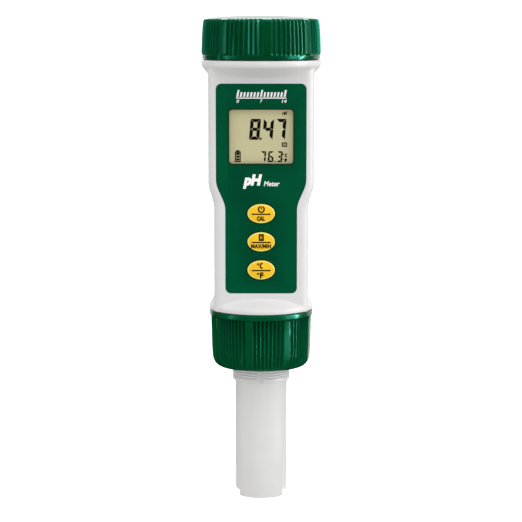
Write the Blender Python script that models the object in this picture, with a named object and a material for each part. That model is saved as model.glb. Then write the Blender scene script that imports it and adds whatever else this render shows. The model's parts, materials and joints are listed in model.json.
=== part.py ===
"""Waterproof pen-style pH tester: screw cap with a battery holder under it, one-piece waisted housing with
a keypad overlay and a liquid crystal display, and a plug-in flat-ended electrode held by a screw collar.

Sizes are in millimetres. Each mesh is scaled to metres when its object is made. The frame is +Z up along
the meter's axis, with Z = 0 at the electrode's tip, and the display faces -Y.
"""

import math

import bmesh
import bpy
from mathutils import Matrix, Vector

MM = 0.001
GAP = 0.1  # between flat faces that rest on each other
SEGMENTS = 32  # round a large turned piece
SMALL_SEGMENTS = 12  # round a pin, a wire or a screw

# Heights along the axis
NOTCH_TOP = 2.0
SENSOR_FACE = 2.6
BEADS_BOTTOM = 40.7
COLLAR_BOTTOM = 45.6
HEAD_BOTTOM = 48.8
HEAD_TOP = 56.3
LOWER_NECK_END = 57.0
COLLAR_TOP = 65.6
LOWER_RIM = (65.8, 67.4)
LOWER_LEDGE = 70.3
BULKHEAD = (67.5, 69.5)
UPPER_LEDGE = 145.6
UPPER_RIM = (149.75, 151.8)
CAP_BOTTOM = 152.0
UPPER_NECK_END = 161.2
CAP_ROOF = 163.3
CAP_TOP = 166.9

# Housing
LOWER_HALF_WIDTH = 16.17
UPPER_HALF_WIDTH = 18.15
WAIST = (101.4, 110.6)  # between these heights the width changes
FRONT = 11.0  # flat front face, this far in front of the axis
BACK_SHARE = 0.93  # of the half width, to the rounded back
FRONT_CORNER = 2.6
WALL = 2.0
FRONT_WALL = 2.4
LOWER_RIM_RADIUS = 18.1
UPPER_RIM_RADIUS = 20.55
LOWER_NECK_RADIUS = 14.6
LOWER_BORE_RADIUS = 12.6
UPPER_NECK_RADIUS = 16.6
UPPER_BORE_RADIUS = 15.0

# Screw threads of the cap and the collar: two starts, right-handed
LEAD = 6.0
STARTS = 2
RIDGE_BASE = 0.6  # half of a ridge's height along the axis, at its root
RIDGE_CREST = 0.3
RIDGE_HEIGHT = 0.95
RIDGE_ROOT_DEPTH = 0.3  # how far a ridge reaches into its wall
THREAD_CLEARANCE = 1.3  # between the two walls that the ridges stand on
UPPER_THREAD_START = 155.0
LOWER_THREAD_START = 58.3

# Grips of the cap and the collar
GRIP_GROUPS = 8
RIBS_IN_GROUP = 8
RIB_PITCH = 4.6  # degrees
RIB_DEPTH = 0.5
CAP_GRIP_PHASE = 5.5  # degrees from the front to the middle of a plain strip
COLLAR_GRIP_PHASE = -14.0

# Keypad and display
OVERLAY_Z = (72.5, 144.0)
OVERLAY_HALF_WIDTHS = (12.2, 15.36)
OVERLAY_WAIST = (101.1, 111.4)
OVERLAY_THICKNESS = 0.5
OVERLAY_RECESS = 0.55
WINDOW_Z = (116.9, 135.2)
WINDOW_HALF_WIDTH = 10.87
WINDOW_CORNER = 1.1
LENS_MARGIN = 1.1
LENS_THICKNESS = 0.95
LENS_POCKET = 1.6
KEY_HEIGHTS = {"power": 99.84, "hold": 90.15, "unit": 80.47}
KEY_HALF_AXES = (4.7, 3.3)
KEY_HOLE_GAP = 0.25
KEY_PROUD = 0.3
KEY_FLANGE = 0.6
KEY_POCKET = 1.6
KEY_STEM_RADIUS = 1.3

# Circuit board
BOARD_FRONT = -4.6
BOARD_BACK = -3.4
BOARD_HALF_WIDTH = 13.0
BOARD_Z = (72.6, 146.2)
BAY_SCREW_AT = (10.6, 142.5)  # X and Z

# Battery holder
HOLDER_Y = 5.6
CELL_RADIUS = 5.8
CELL_HEIGHT = 5.4
CELL_PITCH = 5.45
CELL_COUNT = 4
CELLS_BOTTOM = 132.3
TRAY_RADIUS = 7.2
TRAY_BORE = 6.1
TRAY_Z = (131.0, 156.8)
TRAY_CEILING = 155.0
BAY_RADII = (7.5, 8.4)
BAY_Z = (127.0, 148.5)
BAY_FLOOR = 1.2

# Electrode
BARREL_RADII = (8.85, 9.02)  # at the tip and below the beads
BARREL_BORE = 7.0
BEAD_RADIUS = 9.9
HEAD_RADIUS = 13.6
GUARD_HALF_WIDTH = 7.45
SOCKET_RADIUS = 7.6
PIN_AT = (2.6, 1.4)
PIN_RADIUS = 0.4
PROBE_OFFSET = 4.9

MATERIALS = {
    "white_plastic": ((0.72, 0.72, 0.73), 0.38, 0.0),
    "green_plastic": ((0.0, 0.085, 0.035), 0.3, 0.0),
    "green_overlay": ((0.0, 0.08, 0.032), 0.42, 0.0),
    "yellow_key": ((0.9, 0.5, 0.02), 0.4, 0.0),
    "clear_lens": ((0.9, 0.92, 0.9), 0.05, 0.0),
    "display_glass": ((0.5, 0.49, 0.3), 0.25, 0.0),
    "black_plastic": ((0.02, 0.02, 0.022), 0.45, 0.0),
    "black_rubber": ((0.015, 0.015, 0.015), 0.7, 0.0),
    "grey_rubber": ((0.2, 0.2, 0.21), 0.75, 0.0),
    "circuit_board": ((0.01, 0.12, 0.04), 0.45, 0.0),
    "steel": ((0.62, 0.62, 0.6), 0.28, 1.0),
    "gold_contact": ((0.85, 0.6, 0.2), 0.25, 1.0),
    "polyimide": ((0.55, 0.25, 0.05), 0.4, 0.0),
    "sensor_glass": ((0.8, 0.88, 0.9), 0.05, 0.0),
    "ceramic": ((0.8, 0.78, 0.72), 0.7, 0.0),
    "natural_plastic": ((0.62, 0.62, 0.6), 0.5, 0.0),
}


# ---------------------------------------------------------------- scene


def clear_scene():
    for obj in list(bpy.data.objects):
        bpy.data.objects.remove(obj)


def make_materials():
    made = {}
    for name, (colour, roughness, metallic) in MATERIALS.items():
        material = bpy.data.materials.new(name)
        material.use_nodes = True
        shader = material.node_tree.nodes["Principled BSDF"]
        shader.inputs["Base Color"].default_value = (*colour, 1.0)
        shader.inputs["Roughness"].default_value = roughness
        shader.inputs["Metallic"].default_value = metallic
        made[name] = material
    return made


def make_body(name, origin=(0, 0, 0)):
    """An empty on a moving body's axis. The pieces of the body are its children."""
    empty = bpy.data.objects.new(name, None)
    empty.location = Vector(origin) * MM
    bpy.context.scene.collection.objects.link(empty)
    return empty


def place(name, bm, material, body, origin=None):
    """An object from a mesh in millimetres and world places, with its origin on its body's axis."""
    start = Vector(origin) if origin else body.location / MM
    bmesh.ops.recalc_face_normals(bm, faces=bm.faces)
    bm.transform(Matrix.Scale(MM, 4) @ Matrix.Translation(-start))
    mesh = bpy.data.meshes.new(name)
    bm.to_mesh(mesh)
    bm.free()
    mesh.shade_smooth()
    mesh.set_sharp_from_angle(angle=math.radians(30))
    mesh.materials.append(material)
    obj = bpy.data.objects.new(name, mesh)
    bpy.context.scene.collection.objects.link(obj)
    obj.parent = body
    obj.location = start * MM - body.location
    return obj


def combine(obj, bm, operation, solver="EXACT"):
    """Joins a shape to an object, or cuts it out, with a hidden helper."""
    bmesh.ops.recalc_face_normals(bm, faces=bm.faces)
    bm.transform(Matrix.Scale(MM, 4))
    name = f"{obj.name}_{operation.lower()}_{len(obj.modifiers)}"
    mesh = bpy.data.meshes.new(name)
    bm.to_mesh(mesh)
    bm.free()
    helper = bpy.data.objects.new(name, mesh)
    helper.hide_render = True
    helper.display_type = "WIRE"
    bpy.context.scene.collection.objects.link(helper)
    modifier = obj.modifiers.new(name, "BOOLEAN")
    modifier.operation = operation
    modifier.solver = solver
    modifier.object = helper


def cut(obj, *shapes):
    for bm in shapes:
        combine(obj, bm, "DIFFERENCE")


def join(obj, *shapes):
    for bm in shapes:
        combine(obj, bm, "UNION")


def join_thread(obj, *ridges):
    """Joins thread ridges. The exact solver leaves slits where a ridge's flank grazes a wall's facets."""
    for bm in ridges:
        combine(obj, bm, "UNION", "MANIFOLD")


# ---------------------------------------------------------------- shapes


def block(x, y, z):
    """A box between the two ends given for each axis."""
    bm = bmesh.new()
    bmesh.ops.create_cube(bm, size=1.0)
    sizes = Vector((x[1] - x[0], y[1] - y[0], z[1] - z[0]))
    centre = Vector(((x[0] + x[1]) / 2, (y[0] + y[1]) / 2, (z[0] + z[1]) / 2))
    bm.transform(Matrix.Translation(centre) @ Matrix.Diagonal((*sizes, 1.0)))
    return bm


def rod(radius, z, at=(0.0, 0.0), segments=SMALL_SEGMENTS):
    """A cylinder along Z at a place in X and Y."""
    bm = bmesh.new()
    bmesh.ops.create_cone(
        bm, cap_ends=True, segments=segments, radius1=radius, radius2=radius, depth=z[1] - z[0]
    )
    bm.transform(Matrix.Translation((at[0], at[1], (z[0] + z[1]) / 2)))
    return bm


def rod_along_y(radius, y, at=(0.0, 0.0), segments=SMALL_SEGMENTS):
    """A cylinder along Y at a place in X and Z."""
    bm = rod(radius, y, segments=segments)
    bm.transform(Matrix.Translation((at[0], 0, at[1])) @ Matrix.Rotation(math.radians(-90), 4, "X"))
    return bm


def turned(profile, at=(0.0, 0.0), segments=SEGMENTS):
    """A solid turned from a closed outline of (radius, height) points, of which radius 0 is on the axis."""
    bm = bmesh.new()
    points = [bm.verts.new((radius, 0, height)) for radius, height in profile]
    pairs = zip(points, points[1:] + points[:1])
    edges = [bm.edges.new(pair) for pair in pairs if pair[0].co.x > 0 or pair[1].co.x > 0]
    bmesh.ops.spin(
        bm,
        geom=points + edges,
        cent=(0, 0, 0),
        axis=(0, 0, 1),
        angle=math.tau,
        steps=segments,
        use_merge=True,
    )
    bmesh.ops.remove_doubles(bm, verts=bm.verts, dist=1e-4)
    bm.transform(Matrix.Translation((at[0], at[1], 0)))
    return bm


def ring_solid(inner, outer, z, at=(0.0, 0.0), segments=SEGMENTS):
    profile = [(inner, z[0]), (outer, z[0]), (outer, z[1]), (inner, z[1])]
    return turned(profile, at, segments)


def torus(major, minor, height, sides=6):
    steps = [math.tau * (i + 0.5) / sides for i in range(sides)]
    profile = [(major + minor * math.cos(a), height + minor * math.sin(a)) for a in steps]
    return turned(profile)


def lofted(rings, closed=False):
    """A solid through rings of the same number of points, with flat ends unless it closes on itself."""
    bm = bmesh.new()
    loops = [[bm.verts.new(point) for point in ring] for ring in rings]
    spans = list(zip(loops, loops[1:]))
    if closed:
        spans.append((loops[-1], loops[0]))
    for low, high in spans:
        for i in range(len(low)):
            j = (i + 1) % len(low)
            bm.faces.new((low[i], low[j], high[j], high[i]))
    if not closed:
        bm.faces.new(loops[0][::-1])
        bm.faces.new(loops[-1])
    return bm


def plate(outline, y):
    """A plate in the XZ plane, extruded along Y from its outline."""
    bm = bmesh.new()
    face = bm.faces.new([bm.verts.new((x, y[0], z)) for x, z in outline])
    made = bmesh.ops.extrude_face_region(bm, geom=[face])
    moved = [v for v in made["geom"] if isinstance(v, bmesh.types.BMVert)]
    bmesh.ops.translate(bm, verts=moved, vec=(0, y[1] - y[0], 0))
    return bm


def arc(centre, radius, start, end, steps):
    """Points on an arc, angles in degrees from the first axis."""
    angles = [math.radians(start + (end - start) * i / steps) for i in range(steps + 1)]
    return [(centre[0] + radius * math.cos(a), centre[1] + radius * math.sin(a)) for a in angles]


def rounded_rectangle(half_width, z, corner, steps=4):
    low, high, side = z[0] + corner, z[1] - corner, half_width - corner
    return (
        arc((side, low), corner, -90, 0, steps)
        + arc((side, high), corner, 0, 90, steps)
        + arc((-side, high), corner, 90, 180, steps)
        + arc((-side, low), corner, 180, 270, steps)
    )


def ellipse(half_axes, height, grown=0.0, steps=24):
    turns = [math.tau * i / steps for i in range(steps)]
    across, up = half_axes[0] + grown, half_axes[1] + grown
    return [(across * math.cos(a), height + up * math.sin(a)) for a in turns]


def smooth_step(value, start, end):
    t = min(1.0, max(0.0, (value - start) / (end - start)))
    return t * t * (3 - 2 * t)


def thread_ridge(wall_radius, outward, start_height, turns, turn_offset):
    """One helical ridge, lower at its two ends, on a round wall. Outward is 1 on a shaft and -1 in a bore."""
    steps = round(SEGMENTS * turns)
    shares = {0: 0.6}
    root = wall_radius - outward * RIDGE_ROOT_DEPTH
    rings = []
    for i in range(steps + 1):
        angle = math.tau * (i / SEGMENTS + turn_offset)
        height = start_height + LEAD * i / SEGMENTS
        share = shares.get(min(i, steps - i), 1.0)
        crest = root + outward * (RIDGE_ROOT_DEPTH + RIDGE_HEIGHT) * share
        corners = [
            (root, -RIDGE_BASE),
            (crest, -RIDGE_CREST),
            (crest, RIDGE_CREST),
            (root, RIDGE_BASE),
        ]
        rings.append(
            [(r * math.cos(angle), r * math.sin(angle), height + dz) for r, dz in corners]
        )
    return lofted(rings)


def thread(wall_radius, outward, start_height, turns):
    return [
        thread_ridge(wall_radius, outward, start_height, turns, start / STARTS)
        for start in range(STARTS)
    ]


def grip_ring(radius, height, phase, depth=0.0):
    """A ring of points with groups of ribs between plain strips. Depth is that of a groove between ribs."""
    group = 360 / GRIP_GROUPS
    strip = group - RIBS_IN_GROUP * RIB_PITCH
    points = []
    for g in range(GRIP_GROUPS):
        start = phase - strip / 2 + g * group
        places = [(start, 0.0), (start + strip, 0.0)]
        for rib in range(RIBS_IN_GROUP):
            groove = start + strip + RIB_PITCH * (rib + 0.5)
            places.append((groove, depth))
            if rib < RIBS_IN_GROUP - 1:
                places.append((groove + RIB_PITCH / 2, 0.0))
        for degrees, sunk in places:
            angle = math.radians(degrees - 90)
            r = radius - sunk
            points.append((r * math.cos(angle), r * math.sin(angle), height))
    return points


# ---------------------------------------------------------------- housing


def half_width_at(height):
    share = smooth_step(height, *WAIST)
    return LOWER_HALF_WIDTH + (UPPER_HALF_WIDTH - LOWER_HALF_WIDTH) * share


def section(height, inset=0.0, front_inset=0.0):
    """The housing's cross-section: flat front with rounded corners, straight sides and a rounded back."""
    half = half_width_at(height)
    side, front, back = half - inset, FRONT - front_inset, half * BACK_SHARE - inset
    corner = FRONT_CORNER - front_inset * 0.6
    turns = [math.tau * i / SEGMENTS for i in range(SEGMENTS // 2 + 1)]
    outline = (
        arc((-side + corner, corner - front), corner, 180, 270, 3)
        + arc((side - corner, corner - front), corner, 270, 360, 3)
        + [(side * math.cos(a), back * math.sin(a)) for a in turns]
    )
    return [(x, y, height) for x, y in outline]


def section_heights(low, high, steps=4):
    """The heights of the cross-sections from low to high, closer together where the width changes."""
    waist = [WAIST[0] + (WAIST[1] - WAIST[0]) * i / steps for i in range(steps + 1)]
    ledges = [z for z in (LOWER_LEDGE, UPPER_LEDGE) if low < z < high]
    return sorted([low, *ledges, *waist, high])


def rim_ring(across, front, back, height):
    ring = []
    for i in range(SEGMENTS):
        angle = math.tau * i / SEGMENTS
        depth = back if math.sin(angle) > 0 else front
        ring.append((across * math.cos(angle), depth * math.sin(angle), height))
    return ring


def flared_rim(radius, plain, ledge):
    """A round rim that runs into the housing's section at its ledge, and ends a little inside it."""
    edge = 0.3
    direction = 1 if ledge > plain[1] else -1
    outer, inner = (plain[0], plain[1]) if direction > 0 else (plain[1], plain[0])
    half = half_width_at(ledge)
    rings = [
        rim_ring(radius - edge, radius - edge, radius - edge, outer),
        rim_ring(radius, radius, radius, outer + direction * edge),
        rim_ring(radius, radius, radius, inner),
    ]
    for share in (1.0, 1.12):
        across, front, back = (
            radius + (reach - radius) * share for reach in (half, FRONT, half * BACK_SHARE)
        )
        rings.append(rim_ring(across, front, back, inner + (ledge - inner) * share))
    return lofted(rings)


def board_rails():
    """Two pairs of ribs inside the housing that hold the circuit board's edges."""
    reach = (BOARD_HALF_WIDTH - 0.7, LOWER_HALF_WIDTH - 0.5)
    rails = []
    for side in (-1, 1):
        x = sorted((side * reach[0], side * reach[1]))
        for y in ((BOARD_FRONT - 0.9, BOARD_FRONT - GAP), (BOARD_BACK + GAP, BOARD_BACK + 0.9)):
            rails.append(block(x, y, (73.0, 99.0)))
    return rails


def overlay_outline(grown=0.0):
    """The keypad overlay's outline, wide at the display and narrow at the keys."""
    corner = 1.9
    low, high = OVERLAY_Z[0] - grown, OVERLAY_Z[1] + grown
    narrow, wide = (half + grown for half in OVERLAY_HALF_WIDTHS)
    steps = 5
    right = arc((narrow - corner, low + corner), corner, -90, 0, 4)
    for i in range(steps + 1):
        height = OVERLAY_WAIST[0] + (OVERLAY_WAIST[1] - OVERLAY_WAIST[0]) * i / steps
        right.append((narrow + (wide - narrow) * smooth_step(height, *OVERLAY_WAIST), height))
    right += arc((wide - corner, high - corner), corner, 0, 90, 4)
    return right + [(-x, z) for x, z in reversed(right)]


def cut_keypad(housing):
    """The overlay's shallow recess, the display window and, for each key, a pocket and a stem hole."""
    face, inside = -FRONT, -FRONT + FRONT_WALL
    cut(housing, plate(overlay_outline(0.15), (face - 1, face + OVERLAY_RECESS)))
    lens = LENS_MARGIN + 0.15
    z = (WINDOW_Z[0] - lens, WINDOW_Z[1] + lens)
    pocket = rounded_rectangle(WINDOW_HALF_WIDTH + lens, z, WINDOW_CORNER + 0.5)
    cut(housing, plate(pocket, (face - 1, face + LENS_POCKET)))
    cut(housing, plate(rounded_rectangle(WINDOW_HALF_WIDTH, WINDOW_Z, WINDOW_CORNER), (face, inside + 1)))
    for height in KEY_HEIGHTS.values():
        outline = ellipse(KEY_HALF_AXES, height, KEY_FLANGE + 0.2)
        cut(housing, plate(outline, (face - 1, face + KEY_POCKET)))
        cut(housing, rod_along_y(KEY_STEM_RADIUS + 0.3, (face, inside + 1), (0, height)))


def seal_groove(wall_radius, depth, height, half_height):
    return ring_solid(wall_radius - depth, wall_radius + 2, (height - half_height, height + half_height))


def make_housing(materials, body):
    shell = lofted([section(z) for z in section_heights(LOWER_RIM[0] + 0.8, UPPER_RIM[1] - 0.8)])
    housing = place("housing", shell, materials["white_plastic"], body)
    join(housing, flared_rim(LOWER_RIM_RADIUS, LOWER_RIM, LOWER_LEDGE))
    join(housing, flared_rim(UPPER_RIM_RADIUS, UPPER_RIM, UPPER_LEDGE))
    bevel = 0.5
    top, low = UPPER_NECK_END, LOWER_NECK_END
    join(
        housing,
        turned(
            [
                (0, UPPER_RIM[0] + 1),
                (UPPER_NECK_RADIUS, UPPER_RIM[0] + 1),
                (UPPER_NECK_RADIUS, top - bevel),
                (UPPER_NECK_RADIUS - bevel, top),
                (0, top),
            ]
        ),
        turned(
            [
                (0, low),
                (LOWER_NECK_RADIUS - bevel, low),
                (LOWER_NECK_RADIUS, low + bevel),
                (LOWER_NECK_RADIUS, LOWER_RIM[1] - 0.5),
                (0, LOWER_RIM[1] - 0.5),
            ]
        ),
    )
    cut(housing, seal_groove(UPPER_NECK_RADIUS, 0.5, 153.2, 0.9))
    cut(housing, seal_groove(LOWER_NECK_RADIUS, 0.5, 64.6, 0.85))
    heights = section_heights(BULKHEAD[1], 149.0, 3)
    cavity = lofted([section(z, WALL, FRONT_WALL) for z in heights])
    cut(housing, cavity)
    cut(housing, rod(UPPER_BORE_RADIUS, (148.0, 163.0), segments=SEGMENTS))
    cut(housing, rod(LOWER_BORE_RADIUS, (56.0, BULKHEAD[0]), segments=SEGMENTS))
    cut(housing, rod(SOCKET_RADIUS + 0.3, (66.0, 71.0), segments=SEGMENTS))
    join(housing, *board_rails())
    cut_keypad(housing)
    join_thread(housing, *thread(UPPER_NECK_RADIUS, 1, UPPER_THREAD_START, 0.55))
    join_thread(housing, *thread(LOWER_NECK_RADIUS, 1, LOWER_THREAD_START, 0.55))


def make_neck_seals(materials, body):
    place("cap_o_ring", torus(16.93, 0.72, 153.2), materials["black_rubber"], body)
    place("collar_o_ring", torus(14.83, 0.66, 64.6), materials["black_rubber"], body)


# ---------------------------------------------------------------- keypad and display


def make_overlay(materials, body):
    front = -FRONT + 0.03
    y = (front, front + OVERLAY_THICKNESS)
    overlay = place("keypad_overlay", plate(overlay_outline(), y), materials["green_overlay"], body)
    through = (y[0] - 1, y[1] + 1)
    cut(overlay, plate(rounded_rectangle(WINDOW_HALF_WIDTH, WINDOW_Z, WINDOW_CORNER), through))
    for height in KEY_HEIGHTS.values():
        cut(overlay, plate(ellipse(KEY_HALF_AXES, height, KEY_HOLE_GAP), through))


def make_lens(materials, body):
    z = (WINDOW_Z[0] - LENS_MARGIN, WINDOW_Z[1] + LENS_MARGIN)
    outline = rounded_rectangle(WINDOW_HALF_WIDTH + LENS_MARGIN, z, WINDOW_CORNER + 0.4)
    front = -FRONT + OVERLAY_RECESS + 0.05
    place("display_lens", plate(outline, (front, front + LENS_THICKNESS)), materials["clear_lens"], body)


def make_display(materials, body):
    """The liquid crystal cell in its frame on the circuit board, with a conductive rubber strip at each end.

    The cell's upper glass stands in the housing's window, just behind the lens.
    """
    cell = block((-11.4, 11.4), (-8.45, -6.6), (113.65, 137.55))
    cell = place("display_cell", cell, materials["display_glass"], body)
    margin = 0.12
    z = (WINDOW_Z[0] + margin, WINDOW_Z[1] - margin)
    glass = rounded_rectangle(WINDOW_HALF_WIDTH - margin, z, WINDOW_CORNER - margin)
    join(cell, plate(glass, (-9.35, -8.0)))
    frame = block((-12.2, 12.2), (-8.4, BOARD_FRONT - GAP), (112.6, 138.6))
    frame = place("display_frame", frame, materials["black_plastic"], body)
    cut(frame, block((-11.55, 11.55), (-9.0, -4.0), (113.5, 137.7)))
    strip_y = (-6.5, BOARD_FRONT - GAP)
    for name, low in (("lower", 114.0), ("upper", 135.2)):
        strip = block((-11.0, 11.0), strip_y, (low, low + 2.0))
        place(f"contact_strip_{name}", strip, materials["grey_rubber"], body)


def make_keys(materials, root):
    """Each key with the switch that it presses. The key and the switch's plunger travel together."""
    face = -FRONT - KEY_PROUD
    flange = (-10.4, -10.0)
    for name, height in KEY_HEIGHTS.items():
        key_body = make_body(f"{name}_key_body", (0, face, height))
        cap = plate(ellipse(KEY_HALF_AXES, height), (face, flange[0] + 0.1))
        key = place(f"{name}_key", cap, materials["yellow_key"], key_body)
        join(key, plate(ellipse(KEY_HALF_AXES, height, KEY_FLANGE), flange))
        join(key, rod_along_y(KEY_STEM_RADIUS, (-10.2, -7.25), (0, height)))
        plunger = rod_along_y(0.85, (-7.15, -5.75), (0, height), 12)
        place(f"{name}_switch_plunger", plunger, materials["black_plastic"], key_body)
        case = block((-2.3, 2.3), (-6.45, BOARD_FRONT - 0.05), (height - 2.3, height + 2.3))
        case = place(f"{name}_switch", case, materials["steel"], root)
        cut(case, rod_along_y(1.05, (-7.0, -5.25), (0, height), 12))


def make_keypad_seal(materials, body):
    outline = rounded_rectangle(9.0, (75.6, 104.8), 2.0)
    seal = place("keypad_seal", plate(outline, (-8.5, -7.9)), materials["grey_rubber"], body)
    for height in KEY_HEIGHTS.values():
        cut(seal, rod_along_y(KEY_STEM_RADIUS + 0.25, (-9.0, -7.5), (0, height)))


# ---------------------------------------------------------------- electronics


def make_board(materials, body):
    outline = rounded_rectangle(BOARD_HALF_WIDTH, BOARD_Z, 1.0)
    board = plate(outline, (BOARD_FRONT, BOARD_BACK))
    board = place("circuit_board", board, materials["circuit_board"], body)
    for side in (-1, 1):
        at = (side * BAY_SCREW_AT[0], BAY_SCREW_AT[1])
        cut(board, rod_along_y(1.0, (BOARD_FRONT - 1, BOARD_BACK + 1), at))
    behind = BOARD_BACK + 0.05
    before = BOARD_FRONT - 0.05
    chips = {
        "microcontroller": ((-5.0, 5.0), (behind, behind + 1.2), (95.0, 105.0)),
        "electrode_amplifier": ((-3.0, 3.0), (before - 1.4, before), (73.4, 77.4)),
        "clock_crystal": ((-4.0, 4.0), (behind, behind + 2.0), (109.0, 112.0)),
    }
    for name, extent in chips.items():
        material = materials["steel" if name == "clock_crystal" else "black_plastic"]
        place(name, block(*extent), material, body)


def make_socket(materials, body):
    """The keyed socket in the lower neck, its four pins and the flat lead up to the circuit board."""
    flange_z = (BULKHEAD[1] + GAP, 71.0)
    shell = rod(SOCKET_RADIUS, (58.5, flange_z[1] - 0.2), segments=SEGMENTS)
    socket = place("electrode_socket", shell, materials["black_plastic"], body)
    join(socket, block((-10.0, 10.0), (-8.2, 8.2), flange_z))
    cut(socket, block((-4.8, 4.8), (-3.2, 3.2), (57.5, 63.0)))
    cut(socket, block((-1.2, 1.2), (2.5, 4.1), (57.5, 63.0)))
    number = 0
    for x in (-PIN_AT[0], PIN_AT[0]):
        for y in (-PIN_AT[1], PIN_AT[1]):
            number += 1
            cut(socket, rod(PIN_RADIUS + 0.12, (62.0, 72.0), (x, y), 12))
            pin = rod(PIN_RADIUS, (58.9, 73.0), (x, y), 12)
            place(f"socket_pin_{number}", pin, materials["gold_contact"], body)
    make_flat_lead(materials, body)


def make_flat_lead(materials, body):
    """A flat lead that lies on the pins, bends upwards and lies on the back of the circuit board."""
    half_width, thickness, bend = 3.9, 0.25, 2.0
    low, back, top = 73.1, BOARD_BACK + 0.1, 84.0
    centre = (back + bend, low + bend)
    outer = [(2.4, low), *arc(centre, bend, 270, 180, 6), (back, top)]
    inner = [
        (back + thickness, top),
        *arc(centre, bend - thickness, 180, 270, 6),
        (2.4, low + thickness),
    ]
    rings = [[(x, y, z) for y, z in outer + inner] for x in (-half_width, half_width)]
    place("flat_lead", lofted(rings), materials["polyimide"], body)


def make_battery_bay(materials, body):
    """The tube behind the circuit board that takes the battery holder, with its two contacts and screws."""
    at = (0, HOLDER_Y)
    inner, outer = BAY_RADII
    tube = rod(outer, BAY_Z, at, SEGMENTS)
    bay = place("battery_bay", tube, materials["black_plastic"], body)
    ear_y = (BOARD_BACK + 0.2, BOARD_BACK + 1.4)
    join(bay, block((-12.6, 12.6), ear_y, (BAY_SCREW_AT[1] - 3, BAY_SCREW_AT[1] + 3)))
    cut(bay, rod(inner, (BAY_Z[0] + BAY_FLOOR, BAY_Z[1] + 1), at, SEGMENTS))
    for name, side in (("left", -1), ("right", 1)):
        spot = (side * BAY_SCREW_AT[0], BAY_SCREW_AT[1])
        cut(bay, rod_along_y(1.0, (ear_y[0] - 1, ear_y[1] + 1), spot))
        head = rod_along_y(1.6, (ear_y[1] + GAP, ear_y[1] + 1.3), spot)
        screw = place(f"bay_screw_{name}", head, materials["steel"], body)
        join(screw, rod_along_y(0.75, (-5.6, ear_y[1] + 0.6), spot, 12))
    floor = BAY_Z[0] + BAY_FLOOR + GAP
    place("battery_spring", coil_spring(3.2, 0.35, (floor, 132.1), 3.5), materials["steel"], body)
    finger_y = HOLDER_Y + 6.6
    finger = block((-1.2, 1.2), (finger_y, finger_y + 0.3), (floor, 138.0))
    place("battery_contact", finger, materials["gold_contact"], body)


def coil_spring(radius, wire, z, turns):
    """A wire helix about the battery holder's axis, from one height to another."""
    sides, steps = 5, round(turns * 14)
    low, high = z[0] + wire, z[1] - wire
    rings = []
    for i in range(steps + 1):
        turn = math.tau * turns * i / steps
        height = low + (high - low) * i / steps
        ring = []
        for side in range(sides):
            angle = math.tau * side / sides
            r = radius + wire * math.cos(angle)
            place_z = height + wire * math.sin(angle)
            ring.append((r * math.cos(turn), HOLDER_Y + r * math.sin(turn), place_z))
        rings.append(ring)
    return lofted(rings)


# ---------------------------------------------------------------- battery holder


def make_battery_holder(materials):
    """The tray that carries a stack of button cells, with a disc and a pull tab on top."""
    body = make_body("battery_holder_body", (0, 0, TRAY_Z[0]))
    at = (0, HOLDER_Y)
    tray = place(
        "battery_holder",
        rod(TRAY_RADIUS, (TRAY_Z[0], TRAY_CEILING + 0.5), at, SEGMENTS),
        materials["natural_plastic"],
        body,
    )
    join(tray, rod(UPPER_BORE_RADIUS - 0.6, (TRAY_CEILING, TRAY_Z[1]), segments=SEGMENTS))
    join(tray, block((-5.0, 5.0), (-0.8, 0.8), (TRAY_Z[1] - 0.5, 162.6)))
    cut(tray, rod(TRAY_BORE, (132.0, TRAY_CEILING - 0.2), at, SEGMENTS))
    cut(tray, rod(4.4, (130.0, 133.0), at, SEGMENTS))
    cut(tray, block((-8.0, 8.0), (7.4, 14.0), (132.8, TRAY_CEILING - 0.3)))
    cut(tray, block((-1.8, 1.8), (11.5, 14.0), (130.0, 133.5)))
    for number in range(CELL_COUNT):
        low = CELLS_BOTTOM + CELL_PITCH * number
        cell = button_cell(low)
        place(f"button_cell_{number + 1}", cell, materials["steel"], body)
    strip = block((-1.5, 1.5), (HOLDER_Y + 6.0, HOLDER_Y + 6.3), (134.0, 154.5))
    strip = place("holder_contact", strip, materials["gold_contact"], body)
    join(strip, block((-1.5, 1.5), (2.0, HOLDER_Y + 6.3), (154.2, 154.5)))


def button_cell(low):
    rim, groove = 0.5, 0.25
    profile = [
        (0, low),
        (CELL_RADIUS - 1.2, low),
        (CELL_RADIUS - 0.9, low + 0.6),
        (CELL_RADIUS - groove, low + 0.7),
        (CELL_RADIUS, low + 0.7 + rim),
        (CELL_RADIUS, low + CELL_HEIGHT - groove),
        (CELL_RADIUS - groove, low + CELL_HEIGHT),
        (0, low + CELL_HEIGHT),
    ]
    return turned(profile, (0, HOLDER_Y), 24)


# ---------------------------------------------------------------- battery cap


def make_battery_cap(materials):
    """The ribbed screw cap. Its flat seal rises with it without turning."""
    seal_body = make_body("cap_seal_body", (0, 0, CAP_BOTTOM))
    seal = ring_solid(15.2, 16.5, (UPPER_NECK_END + GAP, CAP_ROOF - 0.2))
    place("cap_seal", seal, materials["black_rubber"], seal_body)
    cap_body = make_body("battery_cap_body", (0, 0, CAP_BOTTOM))
    phase = CAP_GRIP_PHASE
    rings = [
        grip_ring(20.2, CAP_BOTTOM, phase),
        grip_ring(20.25, 153.6, phase),
        grip_ring(20.55, 154.2, phase, RIB_DEPTH),
        grip_ring(19.95, 165.1, phase, RIB_DEPTH),
        grip_ring(18.9, 165.85, phase),
        grip_ring(7.0, CAP_TOP, phase),
    ]
    cap = place("battery_cap", lofted(rings), materials["green_plastic"], cap_body)
    bore = UPPER_NECK_RADIUS + THREAD_CLEARANCE
    cut(cap, rod(bore, (CAP_BOTTOM - 1, CAP_ROOF), segments=SEGMENTS))
    join_thread(cap, *thread(bore, -1, UPPER_THREAD_START + LEAD / 4, 0.4))


# ---------------------------------------------------------------- electrode and collar


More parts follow.
